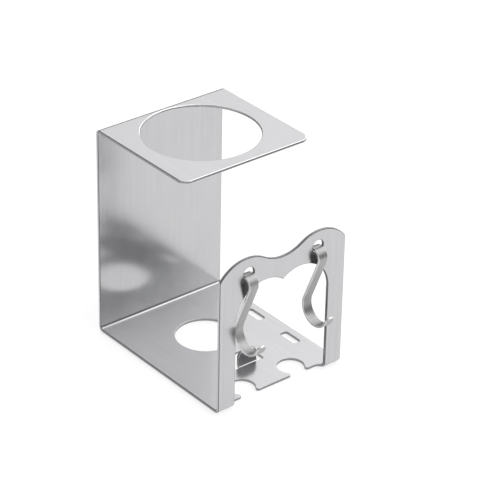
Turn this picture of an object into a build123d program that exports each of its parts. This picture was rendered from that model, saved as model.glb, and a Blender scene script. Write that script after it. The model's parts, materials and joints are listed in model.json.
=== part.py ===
from build123d import *
import os
from math import atan2, degrees, hypot, sqrt

# A wall or counter holder for a hair dryer: one brushed stainless sheet, bent three times, and two
# loose S-hooks of flat strip that hang in the holes of its front frame.
# Millimetres. X is to the right, -Y is out from the wall and +Z is up. The origin is the centre of
# the back face, which goes against the wall.

# Sheet
width = 100.0            # along X
height = 148.0           # from the underside of the bottom shelf to the top of the top shelf
top_depth = 90.0         # top shelf, out from the wall
base_depth = 126.0       # bottom shelf, out to the front face of the frame
sheet = 2.0              # thickness
bend_r = 3.8             # outside radius of the three bends
z_top = height / 2
z_base = -height / 2     # underside

# Top shelf
ring_d = 76.5            # hole that the dryer hangs in
ring_y = -42.9
shelf_corner_r = 6.5

# Bottom shelf
nozzle_d = 40.0          # hole under the dryer's nozzle
nozzle_y = -49.5
front_edge_y = -120.6    # shelf edge between the frame's legs, just behind the bend
notch_r = 8.9            # round notches for handles and cords, open to the front
notch_x = 20.2
notch_y = -112.0
notch_corner_r = 1.7
slot_length = 15.5       # slots beside the right-hand edge, along Y
slot_width = 5.6
slot_corner_r = 2.0
slot_x = 41.8
slot_ys = (nozzle_y, nozzle_y - 36.2)

# Upright tab lanced out of the bottom shelf
tab_width = 15.0
tab_height = 12.4        # above the underside
tab_front_y = -93.2
tab_bend_in = 1.2        # inside radius of its bend
tab_corner_r = 4.0
window_width = 25.0      # opening that the tab leaves behind it
window_back_y = -78.3
window_corner_r = 1.5

# Front frame
ear_x = 28.8
ear_top = z_base + 105.0
dip_z = z_base + 96.7    # lowest point between the ears
dip_r = 27.7
ear_corner_r = 3.5       # from the ear to the side
ear_hole_d = 8.6
ear_hole_x = 27.6
ear_hole_z = z_base + 94.0
leg_x = 37.0             # inner edge of each leg
lobe_r = 23.0            # the two round lobes at the top of the frame's opening
lobe_x = leg_x - lobe_r
lobe_z = z_base + 62.0
leg_foot_r = 4.0         # inner corner between a leg and the shelf's front edge

spare = 1.0              # how far a cut runs past the sheet
near = 0.01              # how closely an edge has to match to be picked

# S-hooks
strip_width = 7.0
strip = 1.5
hook_in_r = 5.0          # inside radius of the small upper bend
leg_flare = 8.0          # degrees that the short leg opens out
leg_length = 9.5         # straight part of the short leg
shank = 33.0             # straight part between the two bends
cradle_in_r = 10.5       # inside radius of the wide lower bend
cradle_turn = 176.0      # degrees
tip_length = 4.5         # straight part after the wide bend
strip_end_r = 3.3
hole_clearance = 0.35    # height that a hook floats above the rim of its hole


def sheet_section():
    """The bent sheet, seen from the side: top shelf, back, bottom shelf and front frame."""
    outside = [(-top_depth, z_top), (0, z_top), (0, z_base), (-base_depth, z_base)]
    outside.append((-base_depth, ear_top + spare))
    top_in = z_top - sheet
    base_in = z_base + sheet
    inside = [(-top_depth, top_in), (-sheet, top_in), (-sheet, base_in)]
    inside += [(sheet - base_depth, base_in), (sheet - base_depth, ear_top + spare)]
    outer = FilletPolyline(*outside, radius=bend_r)
    inner = FilletPolyline(*inside, radius=bend_r - sheet)
    ends = [Line(outer @ 0, inner @ 0), Line(outer @ 1, inner @ 1)]
    return Plane.YZ * make_face([*outer.edges(), *inner.edges(), *ends])


def between(center, other, radius):
    """The point on a circle about center, on the way to other or, with a negative radius, away."""
    reach = hypot(other[0] - center[0], other[1] - center[1])
    return tuple(c + (o - c) * radius / reach for c, o in zip(center, other))


def frame_outline():
    """The frame's outline from the front: two round ears with a dip between them."""
    rise = dip_z + dip_r - ear_top
    ear_r = (ear_x**2 + rise**2 - dip_r**2) / (2 * (dip_r - rise))
    side_x = width / 2 - ear_corner_r
    drop = sqrt((ear_r - ear_corner_r) ** 2 - (side_x - ear_x) ** 2)
    dip = (0, dip_z + dip_r)
    ear = (ear_x, ear_top - ear_r)
    corner = (side_x, ear[1] + drop)
    dip_end = between(dip, ear, dip_r)
    ear_end = between(ear, corner, ear_r)
    side = (width / 2, corner[1])
    half = [ThreePointArc((0, dip_z), between(dip, (dip_end[0] / 2, dip_z), dip_r), dip_end)]
    half.append(ThreePointArc(dip_end, (ear_x, ear_top), ear_end))
    chord = ((side[0] + ear_end[0]) / 2, (side[1] + ear_end[1]) / 2)
    middle = between(corner, chord, ear_corner_r)
    half.append(ThreePointArc(ear_end, middle, side))
    half.append(Line(side, (width / 2, z_base - spare)))
    half.append(Line((width / 2, z_base - spare), (0, z_base - spare)))
    half.append(Line((0, z_base - spare), (0, dip_z)))
    right = Plane.XZ * make_face(half)
    return right + mirror(right, about=Plane.YZ)


def frame_waste():
    """What is trimmed off the plain front plate, and the opening between the legs."""
    deep = 2 * (sheet + spare)
    room_height = 2 * (ear_top + 2 * spare - lobe_z)
    room = Pos(0, 0, lobe_z + room_height / 2) * Box(width + 2 * spare, deep, room_height)
    waste = room - extrude(frame_outline(), amount=deep, both=True)
    for side in (-1, 1):
        waste += Pos(side * lobe_x, 0, lobe_z) * Rot(90, 0, 0) * Cylinder(lobe_r, deep)
        waste += Pos(side * ear_hole_x, 0, ear_hole_z) * Rot(90, 0, 0) * Cylinder(ear_hole_d / 2, deep)
    bay_y = front_edge_y + base_depth
    bay = extrude(RectangleRounded(2 * leg_x, 2 * bay_y, leg_foot_r), amount=lobe_z - z_base + spare)
    waste += Pos(0, 0, z_base - spare) * bay
    return Pos(0, -base_depth, 0) * waste


def bottom_openings():
    """The nozzle hole, notches, slots and the window behind the tab."""
    outline = Pos(0, nozzle_y) * Circle(nozzle_d / 2)
    for side in (-1, 1):
        outline += Pos(side * notch_x, notch_y) * Circle(notch_r)
    for y in slot_ys:
        outline += Pos(slot_x, y) * RectangleRounded(slot_width, slot_length, slot_corner_r)
    front = tab_front_y - tab_bend_in
    size = (window_width, window_back_y - front)
    outline += Pos(0, (front + window_back_y) / 2) * RectangleRounded(*size, window_corner_r)
    return Pos(0, 0, z_base - spare) * extrude(outline, amount=sheet + 2 * spare)


def tab():
    """The upright tab, bent up from the shelf in front of its window."""
    front = tab_front_y - tab_bend_in
    outside = [(front - spare, z_base), (tab_front_y + sheet, z_base)]
    outside.append((tab_front_y + sheet, z_base + tab_height))
    inside = [(front - spare, z_base + sheet), (tab_front_y, z_base + sheet)]
    inside.append((tab_front_y, z_base + tab_height))
    outer = FilletPolyline(*outside, radius=tab_bend_in + sheet)
    inner = FilletPolyline(*inside, radius=tab_bend_in)
    ends = [Line(outer @ 0, inner @ 0), Line(outer @ 1, inner @ 1)]
    section = Plane.YZ * make_face([*outer.edges(), *inner.edges(), *ends])
    plate = extrude(section, amount=tab_width / 2, both=True)
    return fillet(plate.edges().filter_by(Axis.Y).group_by(Axis.Z)[-1], tab_corner_r)


def holder_body():
    """The whole bent sheet."""
    body = extrude(sheet_section(), amount=width / 2, both=True)
    top_ends = body.edges().filter_by(Axis.Z).group_by(Axis.Z)[-1]
    body = fillet(top_ends, shelf_corner_r)
    body -= Pos(0, ring_y, z_top) * Cylinder(ring_d / 2, 2 * (sheet + spare))
    body -= frame_waste()
    body -= bottom_openings()
    reach = notch_x + notch_r
    mouths = body.edges().filter_by(Axis.Z).filter_by_position(Axis.X, -reach, reach)
    mouths = mouths.filter_by_position(Axis.Y, front_edge_y - near, front_edge_y + near)
    body = fillet(mouths, notch_corner_r)
    return body + tab()


def s_hook():
    """A hook of flat strip about the centre of its upper bend, leaning as it hangs from there."""
    bend = hook_in_r + strip / 2
    cradle = cradle_in_r + strip / 2
    top = JernArc((-bend, 0), (0, 1), bend, leg_flare - 180)
    short_leg = Line(top @ 1, (top @ 1) + (top % 1) * leg_length)
    long_leg = Line((-bend, 0), (-bend, -shank))
    wide = JernArc((-bend, -shank), (0, -1), cradle, -cradle_turn)
    tip = Line(wide @ 1, (wide @ 1) + (wide % 1) * tip_length)
    line = Curve() + [short_leg, top, long_leg, wide, tip]
    hook = extrude(Plane.YZ * trace(line, strip), amount=strip_width / 2, both=True)
    ends = hook.edges().filter_by(lambda edge: abs(edge.length - strip) < near)
    hook = fillet(ends, strip_end_r)
    center = hook.center(CenterOf.MASS)
    lean = degrees(atan2(-center.Y, -center.Z))
    return Rot(lean, 0, 0) * hook


def hook_center_z():
    """Height of the centre of a hook's upper bend, with the strip resting in its round hole."""
    rim = ear_hole_z - sqrt((ear_hole_d / 2) ** 2 - (strip_width / 2) ** 2)
    return rim + hole_clearance - sqrt(hook_in_r**2 - (sheet / 2) ** 2)


os.makedirs("parts", exist_ok=True)
export_step(holder_body(), "parts/holder_body.step")
for name, side in (("hook_left", -1), ("hook_right", 1)):
    place = Pos(side * ear_hole_x, sheet / 2 - base_depth, hook_center_z())
    export_step(place * s_hook(), f"parts/{name}.step")
    print(name, "turns about y", sheet / 2 - base_depth, "z", round(hook_center_z(), 3))
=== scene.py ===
import json
import math

import bmesh
import bpy
from mathutils import Matrix, Vector


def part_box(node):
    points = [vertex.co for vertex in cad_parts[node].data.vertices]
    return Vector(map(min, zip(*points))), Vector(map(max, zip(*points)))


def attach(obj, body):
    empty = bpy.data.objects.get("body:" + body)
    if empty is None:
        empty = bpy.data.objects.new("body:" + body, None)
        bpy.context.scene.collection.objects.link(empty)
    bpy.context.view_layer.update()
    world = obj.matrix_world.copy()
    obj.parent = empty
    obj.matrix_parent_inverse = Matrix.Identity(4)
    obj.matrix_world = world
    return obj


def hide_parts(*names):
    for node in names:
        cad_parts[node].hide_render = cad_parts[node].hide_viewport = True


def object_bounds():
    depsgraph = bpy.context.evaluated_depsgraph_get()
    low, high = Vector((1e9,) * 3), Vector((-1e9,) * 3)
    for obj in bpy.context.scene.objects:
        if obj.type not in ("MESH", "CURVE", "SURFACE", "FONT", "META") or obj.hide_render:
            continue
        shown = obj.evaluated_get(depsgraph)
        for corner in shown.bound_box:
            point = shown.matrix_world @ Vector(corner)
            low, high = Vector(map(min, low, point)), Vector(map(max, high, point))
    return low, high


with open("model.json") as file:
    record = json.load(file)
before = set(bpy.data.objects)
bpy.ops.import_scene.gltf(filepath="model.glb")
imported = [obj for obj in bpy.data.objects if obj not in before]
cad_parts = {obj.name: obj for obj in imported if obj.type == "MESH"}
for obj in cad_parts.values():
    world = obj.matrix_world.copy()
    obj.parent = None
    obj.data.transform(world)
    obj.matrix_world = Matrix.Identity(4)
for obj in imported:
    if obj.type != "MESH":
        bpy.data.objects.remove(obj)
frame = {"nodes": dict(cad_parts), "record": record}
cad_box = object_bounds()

# The looks of a hair dryer holder: a brushed stainless sheet, bent three times, with two S-hooks of
# flat strip in its front frame. Metres. X is to the right, -Y is out from the wall, +Z is up.

# Edge rounding
ARRIS = 0.00045           # every cut edge of the sheet
RIM_ARRIS = 0.00065       # rim of the hole that the dryer rests in
HOOK_ARRIS = 0.00028      # tumbled edges of the strip
ARRIS_STEPS = 4
SHARP_TURN = math.radians(30)
FLAT_TURN = math.radians(0.2)     # neighbouring faces this close to one plane are joined
MERGE = 0.000001                  # vertices this close are one
RIM_MARGIN = 0.0001               # how closely a rim's vertices have to lie to its circle

# A piece's materials, in the order of its slots. The last three are only on the sheet and hold painted
# shade and a painted highlight.
FACE, CUT, ROUNDED, SIDE, SHADED_SIDE_ROUNDED, HIGHLIGHTED_TOP_ROUNDED = range(6)
BROAD_GROUPS = 2          # smooth groups of faces that are the two broad sides of the steel

# Steel
TINT = 0.01               # how much bluer than grey the sheet is
SHELF_LEVEL = 0.0718      # distance from mid height to just inside the shelves' inner faces
SHELF_SHADE_FADE = 0.0003       # half the height over which the painted shade on the shelves' sides fades out
UPWARD = (0.4, 0.9)       # slopes between which the haze of upward faces grows
BEND_START = (0.05, 0.25)         # slopes between which the painted shade of a bend begins
BEND_STOP = (0.74, 0.84)          # slopes between which that painted shade ends again
CUT_ROUGH = (0.32, 0.5)
CUT_RELIEF = 0.00001
ARRIS_ROUGH = (0.14, 0.24)

# Camera, with angles in degrees, lens and sensor in millimetres
AZIMUTH = -39.71
ELEVATION = 29.97
ROLL = 1.23
DISTANCE = 1.5018
LENS = 170.04
SENSOR = 36
NEAREST = 0.05
FARTHEST = 50
AIM = Vector((0.01573, -0.0743, -0.00231))

# Floor
FLOOR_SIZE = 12.0
FLOOR_GAP = 0.0002        # below the object
FLOOR_DARK = 0.33
FLOOR_LIGHT = 0.35
FLOOR_GLOW = 0.71

# Grey card close by at the front right
CARD_AWAY = Vector((0.64, -0.77, 0))
CARD_DISTANCE = 0.286
CARD_LOW = 0.045
CARD_HIGH = 0.185
CARD_ASIDE = 0.062
CARD_WIDTH = 0.130
CARD_SHADE = 0.18

# Black cards far behind
BEHIND_LEFT = -0.30
BEHIND_RIGHT = 1.80
BEHIND_NEAR = 0.60
BEHIND_FAR = 1.20
BEHIND_HEIGHT = 0.60
BEHIND_SHADE = 0.02

# Light
WHITE = (1.0, 1.0, 1.0, 1.0)
ROOM_LEVEL = 0.10
BACKDROP_LEVEL = 1.0
# azimuth and elevation in degrees, focus, strength
SOFT_LIGHTS = ((45, 35, 3, 1.2), (135, 25, 4, 1.0), (60, 65, 4, 0.95), (240, 35, 6, 0.5))
# name, direction from the object, size, power
AREA_LIGHTS = (
    ("overhead", (0.57, 0.05, 0.82), 0.25, 0.3),
    ("right_side", (0.82, 0.45, 0.38), 0.3, 0.9),
)
AREA_DISTANCE = 1.4


def mounts():
    return {mount["name"]: mount for mount in frame["record"]["mounts"]}


def placed(name, data):
    """A new object in the scene."""
    made = bpy.data.objects.new(name, data)
    bpy.context.scene.collection.objects.link(made)
    return made


def quad(name, corners, material):
    """A flat piece with four corners."""
    data = bpy.data.meshes.new(name)
    data.from_pydata(corners, [], [(0, 1, 2, 3)])
    data.materials.append(material)
    return placed(name, data)


def toward(azimuth, elevation):
    """A direction: azimuth 0 is to the front, 90 to the right and 180 to the wall."""
    turn, rise = math.radians(azimuth), math.radians(elevation)
    return Vector((math.sin(turn) * math.cos(rise), -math.cos(turn) * math.cos(rise), math.sin(rise)))


def neutral(level):
    """A colour without a tint."""
    return (level, level, level)


def cool(level):
    """A colour of the sheet's steel."""
    return (level, level, level + TINT)


def smooth_groups(mesh):
    """Faces of a bmesh grouped across the edges that aren't sharp."""
    groups, seen = [], set()
    for first in mesh.faces:
        if first in seen:
            continue
        seen.add(first)
        group, waiting = [], [first]
        while waiting:
            face = waiting.pop()
            group.append(face)
            for edge in face.edges:
                if edge.calc_face_angle(math.pi) > SHARP_TURN:
                    continue
                for other in edge.link_faces:
                    if other not in seen:
                        seen.add(other)
                        waiting.append(other)
        groups.append(group)
    return groups


def on_rim(edge, center, radius):
    """Whether an edge runs round the hole about center."""
    return all(abs((v.co.xy - center.xy).length - radius) < RIM_MARGIN for v in edge.verts)


def round_edges(mesh, edges, size):
    """Rounds edges of a bmesh and returns the new faces."""
    return bmesh.ops.bevel(
        mesh, geom=edges, offset=size, offset_type="OFFSET", segments=ARRIS_STEPS,
        profile=0.5, affect="EDGES", clamp_overlap=False,
    )["faces"]


def clean_mesh(node):
    """A CAD node's mesh, with doubled vertices merged and flat faces joined."""
    mesh = bmesh.new()
    mesh.from_mesh(frame["nodes"][node].data)
    bmesh.ops.remove_doubles(mesh, verts=mesh.verts, dist=MERGE)
    bmesh.ops.dissolve_limit(
        mesh, angle_limit=FLAT_TURN, verts=mesh.verts, edges=mesh.edges,
        use_dissolve_boundaries=False,
    )
    return mesh


def mark_broad_faces(mesh):
    """Tells the broad sides of the steel from its cut edges."""
    groups = sorted(smooth_groups(mesh), key=lambda g: -sum(f.calc_area() for f in g))
    for rank, group in enumerate(groups):
        for face in group:
            face.material_index = FACE if rank < BROAD_GROUPS else CUT


def round_all(mesh, arris, rims):
    """Rounds each rim by its own size and all other sharp edges by arris. Marks and returns the new
    faces."""
    rounded = []
    sharp = [edge for edge in mesh.edges if edge.calc_face_angle(0) > SHARP_TURN]
    for center, radius, size in rims:
        rim = [edge for edge in sharp if on_rim(edge, center, radius)]
        sharp = [edge for edge in sharp if edge not in rim]
        rounded += round_edges(mesh, rim, size)
    rounded += round_edges(mesh, sharp, arris)
    rounded = {face for face in rounded if face.is_valid}
    for face in rounded:
        face.material_index = ROUNDED
    return rounded


def mark_sheet(mesh, rounded):
    """Marks the sheet's long sides, the rounded edges along them and round the front frame, which get
    painted shade, and the other rounded edges of the top shelf, which get a painted highlight."""
    sides = cad_box[1].x - ARRIS
    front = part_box("holder_body")[0].y + ARRIS
    for face in mesh.faces:
        center = face.calc_center_median()
        if face not in rounded and abs(center.x) > sides:
            face.material_index = SIDE
        # Painted shade on the rounded edges along the sides and round the front frame.
        elif face in rounded and (abs(center.x) > sides or center.y < front):
            face.material_index = SHADED_SIDE_ROUNDED
        # Painted highlight on the top shelf's other rounded edges.
        elif face in rounded and center.z > SHELF_LEVEL:
            face.material_index = HIGHLIGHTED_TOP_ROUNDED


def finished(node, name, body, materials, arris, rims=()):
    """A piece with a CAD node's shape, its cut edges rounded and its faces marked by material."""
    mesh = clean_mesh(node)
    mark_broad_faces(mesh)
    rounded = round_all(mesh, arris, rims)
    if node == "holder_body":
        mark_sheet(mesh, rounded)
    for face in mesh.faces:
        face.smooth = True
    data = bpy.data.meshes.new(name)
    mesh.to_mesh(data)
    mesh.free()
    for material in materials:
        data.materials.append(material)
    piece = placed(name, data)
    weighted = piece.modifiers.new("weighted normals", "WEIGHTED_NORMAL")
    weighted.weight = 100
    weighted.keep_sharp = False
    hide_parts(node)
    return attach(piece, body)


class Tree:
    """A node tree, with short calls to add and link nodes."""

    def __init__(self, tree):
        self.tree = tree

    def node(self, kind, inputs=(), **settings):
        made = self.tree.nodes.new(kind)
        for key, value in settings.items():
            setattr(made, key, value)
        for key, value in dict(inputs).items():
            self.put(value, made.inputs[key])
        return made

    def put(self, value, socket):
        if isinstance(value, bpy.types.NodeSocket):
            self.tree.links.new(value, socket)
        else:
            socket.default_value = value

    def calc(self, operation, one, other):
        return self.node("ShaderNodeMath", {0: one, 1: other}, operation=operation).outputs[0]

    def blend(self, one, other, share):
        """one and other mixed by weight, as one + share of the difference."""
        mix = self.node("ShaderNodeMix", {0: share, 2: one, 3: other}, data_type="FLOAT")
        return mix.outputs[0]


class Shader(Tree):
    """A material's nodes, with the patterns that the steel is made of."""

    def __init__(self, name):
        self.material = bpy.data.materials.new(name)
        self.material.use_nodes = True
        super().__init__(self.material.node_tree)
        self.surface = self.tree.nodes["Principled BSDF"].inputs

    def assign(self, **values):
        """Sets inputs of the surface, named with underscores for spaces."""
        for name, value in values.items():
            self.put(value, self.surface[name.replace("_", " ")])

    def noise(self, scale, detail=2.0, roughness=0.5):
        """Noise over the piece's own coordinates, with its scale in cycles a metre along X, Y, Z."""
        place = self.node("ShaderNodeTexCoord").outputs["Object"]
        stretched = self.node("ShaderNodeVectorMath", {0: place, 1: scale}, operation="MULTIPLY")
        inputs = {"Vector": stretched.outputs[0], "Scale": 1.0, "Detail": detail, "Roughness": roughness}
        return self.node("ShaderNodeTexNoise", inputs).outputs[0]

    def span(self, value, low, high, start=0.3, stop=0.7):
        """value stretched from start..stop, by default the usual range of noise, to low..high."""
        inputs = {0: value, 1: start, 2: stop, 3: low, 4: high}
        return self.node("ShaderNodeMapRange", inputs).outputs[0]

    def slope(self):
        """How far a face looks up: 0 where it is upright and 1 where it is level."""
        normal = self.node("ShaderNodeTexCoord").outputs["Normal"]
        return self.node("ShaderNodeSeparateXYZ", {0: normal}).outputs[2]

    def upward(self, amount):
        """amount on faces that look up, and nothing on upright ones."""
        return self.span(self.slope(), 0.0, amount, *UPWARD)

    def painted_bend_shade(self):
        """Where painted shade goes: 1 on faces that slope partway up, as in the bends, and 0 on the
        upright and level faces beside them.
        """
        rise = self.span(self.slope(), 0.0, 1.0, *BEND_START)
        fall = self.span(self.slope(), 1.0, 0.0, *BEND_STOP)
        return self.calc("MULTIPLY", rise, fall)

    def ramp(self, value, start, stop):
        """A colour between start and stop, which may be another node's, for a value from 0 to 1."""
        colors = [c if isinstance(c, bpy.types.NodeSocket) else (*c, 1) for c in (start, stop)]
        inputs = {0: value, 6: colors[0], 7: colors[1]}
        return self.node("ShaderNodeMix", inputs, data_type="RGBA").outputs[2]

    def bump(self, height, distance, normal=None):
        """The normal of a relief, which can lie on top of another one."""
        inputs = {"Height": height, "Distance": distance, "Strength": 1.0}
        if normal is not None:
            inputs["Normal"] = normal
        return self.node("ShaderNodeBump", inputs).outputs[0]

    def across(self):
        """The direction across the grain, which is X on the sheet and on both hooks."""
        return self.node("ShaderNodeCombineXYZ", {0: 1.0}).outputs[0]


def brushed(name, dark, light, bend_shade_colour, rough, haze, grain, anisotropy):
    """Steel brushed along the strip, so that its lines lie across X wherever the strip bends. Faces that
    slope partway up, as in the bends, are darkened towards the third colour, which is painted shade."""
    s = Shader(name)
    fine = s.noise((9000, 55, 55), 3.0, 0.6)
    lines = s.noise((1900, 26, 26), 4.0, 0.62)
    bands = s.noise((420, 9, 9), 3.0, 0.55)
    cloud = s.noise((38, 30, 30), 4.0, 0.6)
    streaks = s.blend(lines, bands, 0.4)
    tone = s.blend(streaks, cloud, 0.35)
    color = s.ramp(s.span(tone, 0, 1, 0.36, 0.64), dark, light)
    base_rough = s.span(s.blend(fine, cloud, 0.4), rough[0], rough[1])
    fine_grain = s.bump(fine, grain * 0.5)
    s.assign(
        # Painted shade: faces that slope as in a bend are darkened towards the third colour.
        Base_Color=s.ramp(s.painted_bend_shade(), color, bend_shade_colour),
        Roughness=s.calc("ADD", base_rough, s.upward(haze)),
        Normal=s.bump(lines, grain, fine_grain),
        Tangent=s.across(),
        Metallic=1.0,
        Anisotropic=anisotropy,
    )
    return s.material


def shear_marks(s):
    """The fine, even marks that all cut edges share."""
    return s.noise((900, 900, 900), 3.0, 0.6)


def sheared(s, marks, shade, dark, light):
    """Matt steel between two colours, with the marks that the shear leaves."""
    s.assign(
        Base_Color=s.ramp(shade, dark, light),
        Roughness=s.span(marks, *CUT_ROUGH),
        Normal=s.bump(marks, CUT_RELIEF),
        Metallic=1.0,
    )
    return s.material


def cut_edge(name, dark, light):
    """The darker, matt face of a cut edge. On the sheet its darkness is partly the sheared steel's and
    partly painted shade.
    """
    s = Shader(name)
    marks = shear_marks(s)
    return sheared(s, marks, s.span(marks, 0, 1), dark, light)


def shaded_side_edge(name, dark, light):
    """The long sides of the sheet, darkened along the shelves with painted shade and lighter on the
    upright parts.
    """
    s = Shader(name)
    marks = shear_marks(s)
    place = s.node("ShaderNodeTexCoord").outputs["Object"]
    height = s.node("ShaderNodeSeparateXYZ", {0: place}).outputs[2]
    level = s.node("ShaderNodeMath", {0: height}, operation="ABSOLUTE").outputs[0]
    upright = s.span(level, 1.0, 0.0, SHELF_LEVEL - SHELF_SHADE_FADE, SHELF_LEVEL + SHELF_SHADE_FADE)
    # Painted shade: the sides are dark along the shelves and light on the upright parts.
    shade = s.blend(s.span(marks, 0.0, 0.15), s.span(marks, 0.8, 1.0), upright)
    return sheared(s, marks, shade, dark, light)


def arris(name, dark, light):
    """The burnished line where an edge has been rounded off. On the sheet's sides and top shelf its
    colours are painted shade and a painted highlight.
    """
    s = Shader(name)
    marks = s.noise((700, 700, 700), 3.0, 0.6)
    s.assign(
        Base_Color=s.ramp(s.span(marks, 0, 1), dark, light),
        Roughness=s.span(marks, *ARRIS_ROUGH),
        Metallic=1.0,
    )
    return s.material


def make_holder():
    ring = mounts()["dryer_ring"]
    rim = (Vector(ring["pos_m"]), ring["dims"]["r_mm"] / 1000, RIM_ARRIS)
    materials = [
        # cool(0.27) is the painted shade in the sheet's bends.
        brushed(
            "brushed_sheet_face", cool(0.515), cool(0.57), cool(0.27),
            rough=(0.14, 0.21), haze=0.06, grain=0.000002, anisotropy=0.6,
        ),
        # The cut faces are dark partly as sheared steel and partly as painted shade.
        cut_edge("brushed_sheet_cut_with_painted_shade", cool(0.22), cool(0.34)),
        arris("brushed_sheet_arris", cool(0.44), cool(0.56)),
        # The sheet's long sides, with painted shade along the shelves.
        shaded_side_edge("brushed_sheet_side_painted_shade", cool(0.26), cool(0.60)),
        # Painted shade: the rounded edges along the sides and round the front frame are darkened.
        arris("brushed_sheet_side_arris", cool(0.13), cool(0.22)),
        # Painted highlight: the top shelf's rounded edges are lightened.
        arris("brushed_sheet_top_arris_painted_highlight", cool(0.64), cool(0.78)),
    ]
    finished("holder_body", "holder_sheet", "holder", materials, ARRIS, [rim])


def make_hooks():
    materials = [
        # neutral(0.38) is the painted shade in the hooks' bends.
        brushed(
            "hook_strip_face", neutral(0.36), neutral(0.46), neutral(0.38),
            rough=(0.40, 0.52), haze=0.0, grain=0.000003, anisotropy=0.4,
        ),
        cut_edge("hook_strip_cut", neutral(0.58), neutral(0.74)),
        arris("hook_strip_arris", neutral(0.70), neutral(0.84)),
    ]
    for side in ("left", "right"):
        node = f"hook_{side}"
        finished(node, f"s_hook_{side}", node, materials, HOOK_ARRIS)


def make_camera():
    camera = placed("camera", bpy.data.cameras.new("camera"))
    turn, roll = math.radians(AZIMUTH), math.radians(ROLL)
    back = toward(AZIMUTH, ELEVATION)
    right = Vector((math.cos(turn), math.sin(turn), 0))
    up = back.cross(right)
    tilted_right = right * math.cos(roll) + up * math.sin(roll)
    tilted_up = up * math.cos(roll) - right * math.sin(roll)
    axes = Matrix((tilted_right, tilted_up, back)).transposed()
    camera.matrix_world = Matrix.Translation(AIM + back * DISTANCE) @ axes.to_4x4()
    camera.data.sensor_width = SENSOR
    camera.data.lens = LENS
    camera.data.clip_start = NEAREST
    camera.data.clip_end = FARTHEST
    bpy.context.scene.camera = camera


def make_floor():
    half = FLOOR_SIZE / 2
    level = cad_box[0].z - FLOOR_GAP
    corners = [(x * half, y * half, level) for x, y in ((-1, -1), (1, -1), (1, 1), (-1, 1))]
    s = Shader("pale_floor")
    cloud = s.noise((3, 3, 3), 2.0, 0.5)
    s.assign(
        Base_Color=s.ramp(cloud, neutral(FLOOR_DARK), neutral(FLOOR_LIGHT)),
        Emission_Color=WHITE,
        Emission_Strength=FLOOR_GLOW,
        Roughness=0.9,
        Specular_IOR_Level=0.1,
    )
    floor = quad("floor", corners, s.material)


def dark_card(name, corners, shade):
    """A dark card that only the steel's reflections show."""
    s = Shader(name)
    s.assign(Base_Color=(*neutral(shade), 1), Roughness=0.9)
    card = quad(name, corners, s.material)
    card.visible_camera = False
    card.visible_diffuse = False
    card.visible_shadow = False


def make_cards():
    """A grey card stands close by at the front right and two black ones make a corner far behind."""
    along = CARD_AWAY.cross(Vector((0, 0, 1))).normalized()
    middle = CARD_AWAY.normalized() * CARD_DISTANCE
    ground = cad_box[0].z
    standing = []
    for side, level in ((-1, CARD_LOW), (1, CARD_LOW), (1, CARD_HIGH), (-1, CARD_HIGH)):
        aside = along * (CARD_ASIDE + side * CARD_WIDTH / 2)
        standing.append(middle + aside + Vector((0, 0, ground + level)))
    dark_card("standing_card", standing, CARD_SHADE)
    low = [(BEHIND_LEFT, BEHIND_NEAR, ground), (BEHIND_RIGHT, BEHIND_NEAR, ground)]
    fold = [(BEHIND_RIGHT, BEHIND_FAR, ground), (BEHIND_LEFT, BEHIND_FAR, ground)]
    high = [(x, y, z + BEHIND_HEIGHT) for x, y, z in reversed(fold)]
    dark_card("behind_floor_card", low + fold, BEHIND_SHADE)
    dark_card("behind_standing_card", fold + high, BEHIND_SHADE)


def make_area_lights():
    """Square soft lights that face the object."""
    center = (cad_box[0] + cad_box[1]) / 2
    for name, direction, size, power in AREA_LIGHTS:
        light = placed(name, bpy.data.lights.new(name, "AREA"))
        away = Vector(direction).normalized()
        light.location = center + away * AREA_DISTANCE
        light.rotation_euler = away.to_track_quat("Z", "Y").to_euler()
        light.data.shape = "SQUARE"
        light.data.size = size
        light.data.energy = power


def make_room():
    """A dim room with a few broad soft lights, which the steel reflects, and a white backdrop."""
    world = bpy.data.worlds.new("room")
    bpy.context.scene.world = world
    world.use_nodes = True
    world.node_tree.nodes.clear()
    t = Tree(world.node_tree)
    direction = t.node("ShaderNodeTexCoord").outputs["Generated"]
    total = ROOM_LEVEL
    for azimuth, elevation, focus, strength in SOFT_LIGHTS:
        inputs = {0: direction, 1: toward(azimuth, elevation)}
        facing = t.node("ShaderNodeVectorMath", inputs, operation="DOT_PRODUCT").outputs["Value"]
        falloff = t.calc("MULTIPLY", t.calc("SUBTRACT", facing, 1.0), focus)
        glow = t.calc("MULTIPLY", t.calc("POWER", math.e, falloff), strength)
        total = t.calc("ADD", glow, total)
    seen = t.node("ShaderNodeLightPath").outputs["Is Camera Ray"]
    level = t.blend(total, BACKDROP_LEVEL, seen)
    light = t.node("ShaderNodeBackground", {"Color": WHITE, "Strength": level})
    t.node("ShaderNodeOutputWorld", {"Surface": light.outputs["Background"]})


make_camera()
make_floor()
make_cards()
make_room()
make_area_lights()
make_holder()
make_hooks()
bpy.context.scene.view_settings.view_transform = "Standard"
